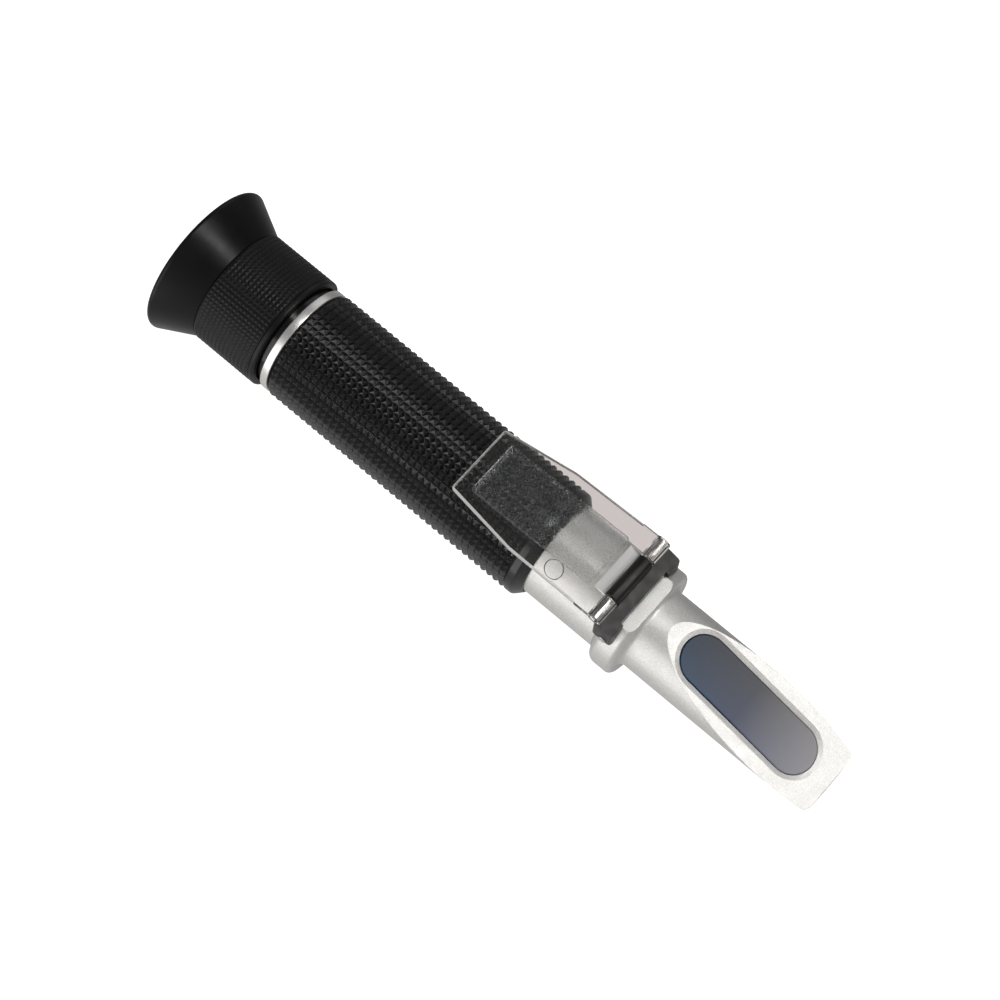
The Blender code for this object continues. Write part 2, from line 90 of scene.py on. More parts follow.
HINGE = Vector(next(j["pos_m"] for j in frame["joints"] if j["name"] == "flap_hinge"))


# --------------------------------------------------------------- materials

class Surface:
    """A material with its main shader and short ways to add procedural detail."""

    def __init__(self, name, colour, roughness, metallic=0.0):
        self.material = bpy.data.materials.new(name)
        self.material.use_nodes = True
        self.nodes = self.material.node_tree.nodes
        self.links = self.material.node_tree.links
        self.shader = self.nodes["Principled BSDF"]
        self.set("Base Color", (*colour, 1.0))
        self.set("Roughness", roughness)
        self.set("Metallic", metallic)
        self.coords = self.nodes.new("ShaderNodeTexCoord")

    def set(self, socket, value):
        self.shader.inputs[socket].default_value = value

    def noise(self, scale, detail=3.0, stretch=None):
        """Noise in object space; stretch lengthens it along an axis."""
        texture = self.nodes.new("ShaderNodeTexNoise")
        texture.inputs["Scale"].default_value = scale
        texture.inputs["Detail"].default_value = detail
        source = self.coords.outputs["Object"]
        if stretch:
            mapping = self.nodes.new("ShaderNodeMapping")
            mapping.inputs["Scale"].default_value = stretch
            self.links.new(source, mapping.inputs["Vector"])
            source = mapping.outputs["Vector"]
        self.links.new(source, texture.inputs["Vector"])
        return texture.outputs["Fac"]

    def spread(self, value, low, high, start=NOISE_LOW, end=NOISE_HIGH):
        """Maps a value that runs from start to end onto another range."""
        remap = self.nodes.new("ShaderNodeMapRange")
        remap.inputs["From Min"].default_value = start
        remap.inputs["From Max"].default_value = end
        remap.inputs["To Min"].default_value = low
        remap.inputs["To Max"].default_value = high
        self.links.new(value, remap.inputs["Value"])
        return remap.outputs["Result"]

    def vary_roughness(self, value, low, high):
        self.links.new(self.spread(value, low, high), self.shader.inputs["Roughness"])

    def vary_colour(self, value, dark, light):
        colour = self.ramp(value, ((NOISE_LOW, dark), (NOISE_HIGH, light)))
        self.links.new(colour, self.shader.inputs["Base Color"])

    def ramp(self, value, stops):
        """A colour ramp through the given places and colours."""
        node = self.nodes.new("ShaderNodeValToRGB")
        elements = node.color_ramp.elements
        while len(elements) < len(stops):
            elements.new(0.5)
        for element, (place, colour) in zip(elements, stops):
            element.position = place
            element.color = (*colour, 1.0)
        self.links.new(value, node.inputs["Fac"])
        return node.outputs["Color"]

    def bump(self, *layers):
        """Stacks bump layers, each a height value and its depth in metres."""
        normal = None
        for height, depth in layers:
            bump = self.nodes.new("ShaderNodeBump")
            bump.inputs["Distance"].default_value = depth
            bump.inputs["Strength"].default_value = 1.0
            self.links.new(height, bump.inputs["Height"])
            if normal is not None:
                self.links.new(normal, bump.inputs["Normal"])
            normal = bump.outputs["Normal"]
        self.links.new(normal, self.shader.inputs["Normal"])


def grip_rubber():
    surface = Surface("grip rubber", (0.004, 0.004, 0.004), 0.33)
    surface.vary_colour(surface.noise(90.0, 4.0), (0.003, 0.003, 0.003), (0.006, 0.006, 0.0058))
    surface.vary_roughness(surface.noise(600.0), 0.20, 0.32)
    surface.set("Specular IOR Level", 0.62)
    surface.bump((surface.noise(5000.0, 2.0), 0.000012))
    return surface.material


def ring_rubber():
    surface = Surface("focus ring rubber", (0.004, 0.004, 0.004), 0.45)
    surface.vary_colour(surface.noise(80.0, 4.0), (0.002, 0.002, 0.002), (0.004, 0.004, 0.0038))
    surface.set("Specular IOR Level", 0.30)
    surface.vary_roughness(surface.noise(500.0), 0.34, 0.44)
    surface.bump((surface.noise(5000.0, 2.0), 0.000010))
    return surface.material


def eyecup_rubber():
    surface = Surface("eyecup rubber", (0.002, 0.002, 0.002), 0.30)
    surface.set("Specular IOR Level", 0.27)
    surface.vary_colour(surface.noise(60.0, 4.0), (0.002, 0.002, 0.002), (0.004, 0.004, 0.004))
    surface.vary_roughness(surface.noise(250.0), 0.27, 0.35)
    surface.bump((surface.noise(2500.0, 3.0), 0.000008))
    return surface.material


def seal_rubber():
    surface = Surface("seal rubber", (0.015, 0.015, 0.015), 0.6)
    surface.vary_roughness(surface.noise(900.0), 0.5, 0.7)
    surface.bump((surface.noise(3000.0), 0.00001))
    return surface.material


def moulded_plastic():
    surface = Surface("moulded black plastic", (0.012, 0.010, 0.009), 0.34)
    surface.set("Specular IOR Level", 0.30)
    surface.vary_colour(surface.noise(200.0), (0.010, 0.008, 0.007), (0.017, 0.014, 0.012))
    surface.vary_roughness(surface.noise(500.0), 0.28, 0.42)
    surface.bump((surface.noise(2600.0, 2.0), 0.000010))
    return surface.material


def glossy_black():
    surface = Surface("black anodised", (0.003, 0.003, 0.003), 0.16)
    surface.vary_roughness(surface.noise(400.0, 2.0, (8.0, 1.0, 1.0)), 0.12, 0.22)
    surface.bump((surface.noise(600.0, 2.0, (12.0, 1.0, 1.0)), 0.000004))
    return surface.material


def blasted_aluminium():
    surface = Surface("blasted aluminium", (0.80, 0.785, 0.76), 0.42, 0.92)
    surface.vary_colour(surface.noise(4200.0, 3.0), (0.71, 0.695, 0.67), (0.93, 0.912, 0.885))
    surface.vary_roughness(surface.noise(800.0), 0.46, 0.54)
    surface.bump((surface.noise(6000.0, 2.0), 0.000030), (surface.noise(3000.0), 0.000016))
    return surface.material


def turned_bright_metal():
    surface = Surface("turned bright metal", (0.93, 0.92, 0.89), 0.34, 1.0)
    surface.vary_roughness(surface.noise(900.0, 2.0, (10.0, 0.6, 0.6)), 0.30, 0.38)
    return surface.material


def ground_steel():
    surface = Surface("ground steel", (0.74, 0.72, 0.69), 0.18, 1.0)
    lines = surface.noise(1800.0, 2.0, (1.0, 6.0, 6.0))
    surface.vary_roughness(lines, 0.14, 0.28)
    surface.bump((lines, 0.000003))
    return surface.material


def prism_glass(low, high):
    """Prism seen from its face: dark blue at the collar, paler towards the tip.

    The gradient is painted on an opaque piece.  It stands in for what a real prism mirrors and
    bends in the photograph's view, so it stays put in every other view.
    """
    surface = Surface("prism glass", (0.1, 0.12, 0.16), 0.05)
    nodes, links = surface.nodes, surface.links
    split = nodes.new("ShaderNodeSeparateXYZ")
    links.new(surface.coords.outputs["Object"], split.inputs["Vector"])
    along = surface.spread(split.outputs["X"], 0.0, 1.0, low.x, high.x)
    side = surface.spread(split.outputs["Y"], 0.0, 1.0, low.y, high.y)
    # Painted reflection and refraction: bluer towards -Y, greyer towards +Y, both paler towards the
    # tip.
    painted_blue_side = surface.ramp(along, ((0.0, (0.006, 0.044, 0.105)), (0.5, (0.052, 0.070, 0.130)),
                                (1.0, (0.330, 0.325, 0.370))))
    painted_grey_side = surface.ramp(along, ((0.0, (0.003, 0.009, 0.026)), (0.5, (0.066, 0.066, 0.076)),
                                 (1.0, (0.345, 0.330, 0.340))))
    mix = nodes.new("ShaderNodeMix")
    mix.data_type = "RGBA"
    links.new(side, mix.inputs["Factor"])
    links.new(painted_blue_side, mix.inputs[MIX_A])
    links.new(painted_grey_side, mix.inputs[MIX_B])
    links.new(mix.outputs[MIX_RESULT], surface.shader.inputs["Base Color"])
    surface.set("IOR", 1.52)
    surface.set("Specular IOR Level", 0.12)
    surface.vary_roughness(surface.noise(120.0), 0.03, 0.08)
    return surface.material


def lens_glass():
    surface = Surface("coated lens glass", (0.92, 0.95, 0.97), 0.02)
    surface.set("Transmission Weight", 1.0)
    surface.set("IOR", 1.52)
    surface.vary_roughness(surface.noise(300.0), 0.0, 0.03)
    return surface.material


def clear_acrylic():
    surface = Surface("clear acrylic", (0.985, 0.978, 0.968), 0.0)
    surface.set("Transmission Weight", 1.0)
    surface.set("IOR", 1.49)
    surface.vary_roughness(surface.noise(300.0), 0.0, 0.012)
    return surface.material


def frosted_acrylic():
    surface = Surface("frosted acrylic", (0.97, 0.975, 0.98), 0.24)
    surface.set("Transmission Weight", 1.0)
    surface.set("IOR", 1.22)
    surface.vary_roughness(surface.noise(3500.0, 3.0), 0.16, 0.34)
    surface.bump((surface.noise(5200.0, 2.0), 0.00002), (surface.noise(900.0, 3.0), 0.00002))
    return surface.material


def cut_acrylic():
    """The sawn edges of the clear plate, which are matt and catch the light."""
    surface = Surface("cut acrylic edge", (0.90, 0.88, 0.87), 0.40)
    surface.set("Transmission Weight", 0.30)
    surface.set("IOR", 1.49)
    surface.vary_roughness(surface.noise(2500.0), 0.35, 0.55)
    surface.bump((surface.noise(4000.0, 2.0, (0.2, 0.2, 1.0)), 0.00002))
    return surface.material


# ------------------------------------------------------------ mesh helpers

def finish_mesh(name, form, smooth_angle=radians(30)):
    """Turns a bmesh into an object with its faces pointing out and sharp edges kept."""
    bmesh.ops.recalc_face_normals(form, faces=form.faces)
    mesh = bpy.data.meshes.new(name)
    form.to_mesh(mesh)
    form.free()
    item = bpy.data.objects.new(name, mesh)
    bpy.context.scene.collection.objects.link(item)
    if smooth_angle is None:
        mesh.shade_flat()
    else:
        mesh.shade_smooth()
        mesh.set_sharp_from_angle(angle=smooth_angle)
    return item


def arc(centre_x, centre_r, radius, start, end, steps=8):
    """Points of a round stretch of a turned outline, angles in degrees from +X."""
    points = []
    for step in range(steps + 1):
        angle = radians(start + (end - start) * step / steps)
        points.append((centre_x + radius * cos(angle), centre_r + radius * sin(angle)))
    return points


def add_turned(form, outline, segments=ROUND):
    """Adds a closed outline of (x, r) points turned about the X axis."""
    rings = []
    for x, r in outline:
        if r < 1e-7:
            rings.append([form.verts.new((x, 0.0, 0.0))])
            continue
        ring = []
        for step in range(segments):
            angle = 2 * pi * step / segments
            ring.append(form.verts.new((x, r * sin(angle), r * cos(angle))))
        rings.append(ring)
    for index, ring in enumerate(rings):
        following = rings[(index + 1) % len(rings)]
        if len(ring) == 1 and len(following) == 1:
            continue
        for step in range(segments):
            after = (step + 1) % segments
            corners = [ring[step % len(ring)], ring[after % len(ring)],
                       following[after % len(following)], following[step % len(following)]]
            unique = list(dict.fromkeys(corners))
            form.faces.new(unique)


def turned(name, outline, segments=ROUND):
    form = bmesh.new()
    add_turned(form, outline, segments)
    return finish_mesh(name, form)


def add_knurl(form, x_start, x_end, along, around, root, peak, flat, under):
    """Adds a closed band whose outside is rows of four-sided pyramids with cut-off tips.

    flat is the part of each cell that its tip keeps, and under is the radius of the inside.
    """
    def place(x, r, turn):
        return form.verts.new((x, r * sin(turn), r * cos(turn)))

    cell = (x_end - x_start) / along
    step_turn = 2 * pi / around
    corners = [[place(x_start + i * cell, root, j * step_turn) for j in range(around)]
               for i in range(along + 1)]
    inner = [[place(x, under, j * step_turn) for j in range(around)] for x in (x_start, x_end)]
    edge = (1 - flat) / 2
    for i in range(along):
        for j in range(around):
            after = (j + 1) % around
            base = [corners[i][j], corners[i + 1][j], corners[i + 1][after], corners[i][after]]
            tip = []
            for side_x, side_turn in ((edge, edge), (1 - edge, edge), (1 - edge, 1 - edge),
                                      (edge, 1 - edge)):
                tip.append(place(x_start + (i + side_x) * cell, peak, (j + side_turn) * step_turn))
            for k in range(4):
                following = (k + 1) % 4
                form.faces.new((base[k], base[following], tip[following], tip[k]))
            form.faces.new(tip)
    for j in range(around):
        after = (j + 1) % around
        form.faces.new((corners[0][j], corners[0][after], inner[0][after], inner[0][j]))
        form.faces.new((corners[-1][after], corners[-1][j], inner[1][j], inner[1][after]))
        form.faces.new((inner[0][j], inner[0][after], inner[1][after], inner[1][j]))


def prism_body(name, outline, low, high):
    """A flat outline of (x, y) points raised from one height to another."""
    form = bmesh.new()
    floor = [form.verts.new((x, y, low)) for x, y in outline]
    roof = [form.verts.new((x, y, high)) for x, y in outline]
    form.faces.new(floor)
    form.faces.new(roof)
    for index in range(len(outline)):
        after = (index + 1) % len(outline)
        form.faces.new((floor[index], floor[after], roof[after], roof[index]))
    return finish_mesh(name, form)


def loft(name, loops):
    """A closed body through outlines with the same number of points."""
    form = bmesh.new()
    rows = [[form.verts.new(point) for point in loop] for loop in loops]
    form.faces.new(rows[0])
    form.faces.new(rows[-1])
    for lower, upper in zip(rows, rows[1:]):
        count = len(lower)
        for index in range(count):
            after = (index + 1) % count
            form.faces.new((lower[index], lower[after], upper[after], upper[index]))
    return finish_mesh(name, form)


def block(name, low, high):
    outline = [(low[0], low[1]), (high[0], low[1]), (high[0], high[1]), (low[0], high[1])]
    return prism_body(name, outline, low[2], high[2])


def bar(name, start, end, radius, segments=64, edge=0.0):
    """A round bar between two points, its ends rounded by edge."""
    start, end = Vector(start), Vector(end)
    length = (end - start).length
    outline = [(length, 0.0)]
    if edge:
        outline += arc(length - edge, radius - edge, edge, 0.0, 90.0, 4)
        outline += arc(edge, radius - edge, edge, 90.0, 180.0, 4)
    else:
        outline += [(length, radius), (0.0, radius)]
    outline += [(0.0, 0.0)]
    item = turned(name, outline, segments)
    turn = Vector((1, 0, 0)).rotation_difference(end - start).to_matrix().to_4x4()
    item.matrix_world = Matrix.Translation(start) @ turn
    return item


def stadium(radius, span, steps=32):
    """Outline of a slot with round ends."""
    points = []
    for end in (1, -1):
        for step in range(steps + 1):
            angle = -pi / 2 + pi * step / steps
            if end < 0:
                angle += pi
            points.append((end * span / 2 + radius * cos(angle), radius * sin(angle)))
    return points


def boolean(item, other, operation):
    change = item.modifiers.new(operation.lower(), "BOOLEAN")
    change.operation = operation
    change.solver = "EXACT"
    change.object = other


def apply_all(item, smooth_angle=radians(30)):
    """Applies the modifiers, drops the tools they used and sets the shading again."""
    tools = [m.object for m in item.modifiers if m.type == "BOOLEAN"]
    bpy.context.view_layer.update()
    graph = bpy.context.evaluated_depsgraph_get()
    mesh = bpy.data.meshes.new_from_object(item.evaluated_get(graph))
    item.modifiers.clear()
    old = item.data
    item.data = mesh
    bpy.data.meshes.remove(old)
    for tool in tools:
        bpy.data.objects.remove(tool, do_unlink=True)
    mesh.shade_smooth()
    mesh.set_sharp_from_angle(angle=smooth_angle)


def subtract(item, *tools, smooth_angle=radians(30)):
    for tool in tools:
        boolean(item, tool, "DIFFERENCE")
    apply_all(item, smooth_angle)


def unite(item, *pieces):
    for piece in pieces:
        boolean(item, piece, "UNION")
    apply_all(item)


def soften(item, width, segments):
    """Rounds the edges, so that they catch the light."""
    edge = item.modifiers.new("edges", "BEVEL")
    edge.width = width
    edge.segments = segments
    edge.limit_method = "ANGLE"
    edge.angle_limit = radians(35)
    edge.use_clamp_overlap = True
    apply_all(item, radians(40))


def place_piece(item, body, slot, surface, *nodes):
    """Gives a finished piece its material and body, and hides the CAD nodes it stands for; slot is not
    used.
    """
    item.data.materials.clear()
    item.data.materials.append(surface)
    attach(item, body)
    if nodes:
        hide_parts(*nodes)


def reach(node):
    """Back station, front station and outer radius of a round CAD node."""
    low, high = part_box(node)
    return low.x, high.x, high.y


# ---------------------------------------------------------------- eyepiece

def make_eyecup(surface):
    back, front, radius = reach("eyecup")
    lip = 0.8 * MM
    neck = 13.1 * MM
    bore = 8.3 * MM
    floor = front - 1.2 * MM
    outline = [(front, neck - 0.25 * MM)]
    outline += arc(front - 0.25 * MM, neck - 0.25 * MM, 0.25 * MM, 0.0, 60.0, 3)
    outline += arc(back + lip, radius - lip, lip, 62.0, 190.0, 12)
    outline += arc(back + lip, radius - 1.75 * MM, lip * 0.8, 190.0, 240.0, 4)
    outline += [
        (back + 4.2 * MM, radius - 4.0 * MM),
        (floor - 0.6 * MM, 11.3 * MM),
    ]
    outline += arc(floor - 0.6 * MM, 10.7 * MM, 0.6 * MM, 90.0, 0.0, 4)
    outline += [(floor, bore + 0.3 * MM)]
    outline += arc(floor + 0.3 * MM, bore + 0.3 * MM, 0.3 * MM, 180.0, 270.0, 4)
    outline += [(front, bore)]
    place_piece(turned("eyecup_moulded", outline), "focus_control", "eyecup_rubber", surface, "eyecup")


def make_focus_ring(surface):
    back, front, radius = reach("focus_ring")
    root = radius - 0.15 * MM
    knurl_back = back + 0.1 * MM
    knurl_front = front - 1.6 * MM
    band = radius - 0.03 * MM
    groove = front - 1.25 * MM
    edge = 0.55 * MM
    bore = 11.6 * MM
    outline = [(front, bore + 0.3 * MM)]
    outline += arc(front - edge, band - edge, edge, 0.0, 90.0, 8)
    outline += [
        (groove + 0.12 * MM, band),
        (groove, band - 0.14 * MM),
        (groove - 0.12 * MM, band),
        (knurl_front + 0.08 * MM, band),
        (knurl_front, root - 0.03 * MM),
        (back, root - 0.03 * MM),
        (back, bore),
        (front - 0.6 * MM, bore),
    ]
    form = bmesh.new()
    add_turned(form, outline, 240)
    add_knurl(form, knurl_back, knurl_front, 14, 80, root, radius, 0.22, root - 0.5 * MM)
    item = finish_mesh("focus_ring_knurled", form, radians(22))
    place_piece(item, "focus_control", "grip_rubber", surface, "focus_ring")


def make_focus_core(surface):
    back, front, radius = reach("focus_core")
    outline = [(front, BARREL_BORE)]
    outline += arc(front - 0.3 * MM, radius - 0.3 * MM, 0.3 * MM, 0.0, 90.0, 5)
    outline += [(back, radius), (back, BARREL_BORE)]
    place_piece(turned("focus_core_turned", outline), "focus_control", "black_plastic", surface,
                "focus_core")


# -------------------------------------------------------------------- body

def make_bezel(surface):
    back, front, radius = reach("bezel_ring")
    edge = 0.22 * MM
    bore = 11.75 * MM
    web = front - 0.5 * MM
    outline = [(front, BARREL_BORE), (front, radius - edge)]
    outline += arc(front - edge, radius - edge, edge, 0.0, 90.0, 5)
    outline += arc(back + edge, radius - edge, edge, 90.0, 180.0, 5)
    outline += [(back, bore), (web, bore), (web, BARREL_BORE)]
    place_piece(turned("bezel_ring_turned", outline), "housing", "polished_metal", surface,
                "bezel_ring")


def make_grip(surface):
    back, front, radius = reach("grip_sleeve")
    along = 39
    around = 49
    depth = 0.62 * MM
    root = radius - depth
    knurl_back = back + 0.12 * MM
    knurl_front = front - 3.65 * MM
    band = radius - 0.12 * MM
    neck = 10.45 * MM
    inner = 11.3 * MM
    outline = [(front, neck)]
    outline += arc(front - 0.3 * MM, neck + 0.2 * MM, 0.3 * MM, 0.0, 45.0, 4)
    outline += arc(front - 2.1 * MM, band - 1.0 * MM, 1.0 * MM, 45.0, 90.0, 8)
    outline += [
        (knurl_front + 0.35 * MM, band),
        (knurl_front + 0.05 * MM, root - 0.05 * MM),
        (knurl_back, root - 0.05 * MM),
        (back, root - 0.2 * MM),
        (back, inner),
        (front - 5.0 * MM, inner),
        (front - 3.9 * MM, neck),
    ]
    form = bmesh.new()
    add_turned(form, outline, 196)
    add_knurl(form, knurl_back, knurl_front, along, around, root, radius, 0.10, root - 0.4 * MM)
    item = finish_mesh("grip_knurled", form, radians(22))
    place_piece(item, "housing", "grip_rubber", surface, "grip_sleeve")


def calibration_point(radius):
    return Vector((CAL_STATION, -radius * sin(CAL_ANGLE), radius * cos(CAL_ANGLE)))


def make_body_tube(surface):
    back, front, radius = reach("body_tube")
    step = 8.2 * MM
    barrel_end = -36.0 * MM
    edge = 0.22 * MM
    outline = [
        (front, TUBE_BORE),
        (front, TUBE_RADIUS - edge),
        (front - edge, TUBE_RADIUS),
        (step + 1.0 * MM, TUBE_RADIUS),
        (step, radius),
        (back, radius),
        (back, BARREL_BORE),
        (barrel_end, BARREL_BORE),
        (barrel_end, TUBE_BORE),
    ]
    item = turned("body_tube_blasted", outline)
    subtract(item, bar("cap_hole", calibration_point(9.3 * MM), calibration_point(12 * MM), 2.1 * MM),
             bar("screw_hole", calibration_point(7 * MM), calibration_point(9.6 * MM), 1.65 * MM))
    place_piece(item, "housing", "aluminium", surface, "body_tube")


def make_calibration(cap_surface, screw_surface):
    cap = bar("calibration_cap_disc", calibration_point(9.65 * MM), calibration_point(TUBE_RADIUS),
              1.95 * MM, 72, 0.12 * MM)
    place_piece(cap, "housing", "aluminium", cap_surface, "calibration_cap")
    screw = bar("calibration_screw_slotted", calibration_point(7.4 * MM), calibration_point(9.25 * MM),
                1.5 * MM, 48, 0.1 * MM)
    slot = block("slot", (0.0014, -0.0002, -0.002), (0.004, 0.0002, 0.002))
    slot.matrix_world = screw.matrix_world.copy()
    subtract(screw, slot)
    place_piece(screw, "calibration", "steel", screw_surface, "calibration_screw")


# -------------------------------------------------------------------- head

def face_matrix(x):
    """Frame lying on the prism face, centred on the axis plane at station x."""
    height = NOSE_RADIUS - (x - FACE_START) * tan(FACE_ANGLE)
    return Matrix.Translation((x, 0.0, height)) @ Matrix.Rotation(FACE_ANGLE, 4, "Y")


def make_housing(surface):
    back, front, radius = reach("prism_housing")
    fillet = 1.2 * MM
    lip = 35.1 * MM
    base = 37.4 * MM
    tip = 0.9 * MM
    shoulder = 2.1 * MM
    bore = 6.2 * MM
    socket_end = back + 3 * MM
    bore_end = 48 * MM
    outline = [(front, 0.0)]
    outline += arc(front - tip, NOSE_RADIUS - tip, tip, 0.0, 90.0, 12)
    outline += [(base, NOSE_RADIUS)]
    outline += arc(base, NOSE_RADIUS + 1.0 * MM, 1.0 * MM, 270.0, 195.0, 12)
    outline += arc(lip + 0.2 * MM, radius - fillet, fillet, 15.0, 90.0, 10)
    outline += arc(back + shoulder, radius - shoulder, shoulder, 90.0, 180.0, 14)
    outline += [
        (back, TUBE_BORE),
        (socket_end, TUBE_BORE),
        (socket_end, bore),
        (bore_end, bore),
        (bore_end, 0.0),
    ]
    item = turned("prism_housing_blasted", outline)
    seat = block("seat", (back - 1 * MM, -15 * MM, SEAT_HEIGHT), (SEAT_FRONT, 15 * MM, 16 * MM))
    plane = block("plane", (0.0, -20 * MM, 0.0), (60 * MM, 20 * MM, 30 * MM))
    plane.matrix_world = face_matrix(FACE_START)
    wall = WINDOW_RADIUS + 0.15 * MM
    depth = 0.30 * MM
    slope = WINDOW_BEVEL / depth
    levels = [(-4.4 * MM, wall), (-depth, wall), (0.1 * MM, wall + slope * (depth + 0.1 * MM))]
    pocket = loft("pocket", [[(x, y, z) for x, y in stadium(r, WINDOW_SPAN)] for z, r in levels])
    pocket.matrix_world = face_matrix(WINDOW_CENTRE)
    subtract(item, seat, plane, pocket, smooth_angle=radians(12))
    place_piece(item, "housing", "aluminium", surface, "prism_housing")


def make_prism(surface):
    edge = 0.16 * MM
    levels = [(-3.7 * MM, WINDOW_RADIUS), (-0.26 * MM, WINDOW_RADIUS),
              (-0.10 * MM, WINDOW_RADIUS - edge)]
    item = loft("prism_polished", [[(x, y, z) for x, y in stadium(r, WINDOW_SPAN)]
                                   for z, r in levels])
    item.data.transform(face_matrix(WINDOW_CENTRE))
    place_piece(item, "housing", "prism_glass", surface, "prism")


def make_hinge_block(surface):
    low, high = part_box("hinge_block")
    half = high.y
    ear = 5.25 * MM
    seat = SEAT_HEIGHT + 0.15 * MM
    centre_front = 33.7 * MM
    body = block("hinge_block_moulded", (HINGE.x, -half, low.z), (high.x, half, 15 * MM))
    soften(body, 0.7 * MM, 4)
    hollow = bar("hollow", (20 * MM, 0, 0), (45 * MM, 0, 0), 12.7 * MM, 256)
    subtract(hollow, block("above", (15 * MM, -20 * MM, seat), (50 * MM, 20 * MM, 20 * MM)))
    slope = block("slope", (-20 * MM, -20 * MM, 1.1 * MM), (10 * MM, 20 * MM, 30 * MM))
    slope.matrix_world = face_matrix(FACE_START)
    step = block("step", (centre_front, -6.9 * MM, 5 * MM), (40 * MM, 6.9 * MM, 20 * MM))
    subtract(body, hollow, slope, step)
    barrel = bar("barrel", (HINGE.x, -ear, HINGE.z), (HINGE.x, ear, HINGE.z), KNUCKLE_RADIUS, 96,
                 0.15 * MM)
    web = block("web", (HINGE.x, -ear, 12 * MM), (HINGE.x + 1.6 * MM, ear, 14.6 * MM))
    rear = block("rear", (HINGE.x - 1.2 * MM, -ear, seat), (HINGE.x + MM, ear, HINGE.z - 0.2 * MM))
    unite(body, web, rear, barrel)
    tools = [bar("bore", (HINGE.x, -12 * MM, HINGE.z), (HINGE.x, 12 * MM, HINGE.z),
                 PIN_HOLE_RADIUS, 48)]
    for side in (-1, 1):
        screw_end = (WING_SCREW_STATION, side * 13 * MM, WING_SCREW_HEIGHT)
        tools.append(bar("clearance", (HINGE.x, side * ear, HINGE.z),
                         (HINGE.x, side * (half + MM), HINGE.z), KNUCKLE_RADIUS + 0.3 * MM, 96))
        tools.append(bar("screw_hole", (WING_SCREW_STATION, side * 8 * MM, WING_SCREW_HEIGHT),
                         screw_end, 0.65 * MM, 32))
        tools.append(bar("counterbore", (WING_SCREW_STATION, side * (half - 0.45 * MM),
                                         WING_SCREW_HEIGHT), screw_end, 1.05 * MM, 48))
    subtract(body, *tools)
    place_piece(body, "housing", "black_plastic", surface, "hinge_block")


def make_hinge_pin(surface):
    low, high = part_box("hinge_pin")
    radius = (high.z - low.z) / 2
    item = bar("hinge_pin_ground", (HINGE.x, low.y, HINGE.z), (HINGE.x, high.y, HINGE.z), radius, 64,
               0.15 * MM)
    place_piece(item, "housing", "steel", surface, "hinge_pin")


def make_wing_screws(surface):
    for side, node in ((-1, "wing_screw_left"), (1, "wing_screw_right")):
        low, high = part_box(node)
        head = (high.x - low.x) / 2
        centre = Vector(((low.x + high.x) / 2, 0.0, (low.z + high.z) / 2))
        inner = low.y if side > 0 else high.y
        outer = high.y if side > 0 else low.y
        length = abs(outer - inner)
        thick = 0.5 * MM
        shank = 0.5 * MM
        outline = [(length, 0.0)]
        outline += arc(length - 0.3 * MM, head - 0.3 * MM, 0.3 * MM, 0.0, 90.0, 6)
        outline += [(length - thick, head), (length - thick, shank), (0.0, shank), (0.0, 0.0)]
        item = turned(node + "_slotted", outline, 48)
        slot = block("slot", (length - 0.22 * MM, -0.12 * MM, -2 * MM),
                     (length + MM, 0.12 * MM, 2 * MM))
        subtract(item, slot)
        turn = Matrix.Rotation(side * pi / 2, 4, "Z")
        item.matrix_world = Matrix.Translation((centre.x, inner, centre.z)) @ turn
        place_piece(item, "housing", "steel", surface, node)


# -------------------------------------------------------------------- flap

def flap_matrix():
    """Flap coordinates: x from the hinge to the free edge, z up from the outer face."""
    turn = Matrix.Rotation(pi, 4, "Z") @ Matrix.Rotation(OPEN_ANGLE, 4, "Y")
    return Matrix.Translation(HINGE) @ turn


def local_box(node, matrix):
    """Box of a CAD node in another frame."""
    inverse = matrix.inverted()
    points = [inverse @ v.co for v in frame["nodes"][node].data.vertices]
    low = Vector(min(p[k] for p in points) for k in range(3))
    high = Vector(max(p[k] for p in points) for k in range(3))
    return low, high


def rounded_corners(points, radius, steps=6):
    """Rounds the corners of a closed outline of convex corners."""
    rounded = []
    count = len(points)
    for index in range(count):
        here = Vector(points[index])
        before = (Vector(points[index - 1]) - here).normalized()
        after = (Vector(points[(index + 1) % count]) - here).normalized()
        half_angle = before.angle(after) / 2
        reach_out = min(radius / tan(half_angle), 0.4 * (Vector(points[index - 1]) - here).length)
        start = here + before * reach_out
        end = here + after * reach_out
        for step in range(steps + 1):
            t = step / steps
            rounded.append(((1 - t) ** 2) * start + 2 * t * (1 - t) * here + t * t * end)
    return [(p.x, p.y) for p in rounded]


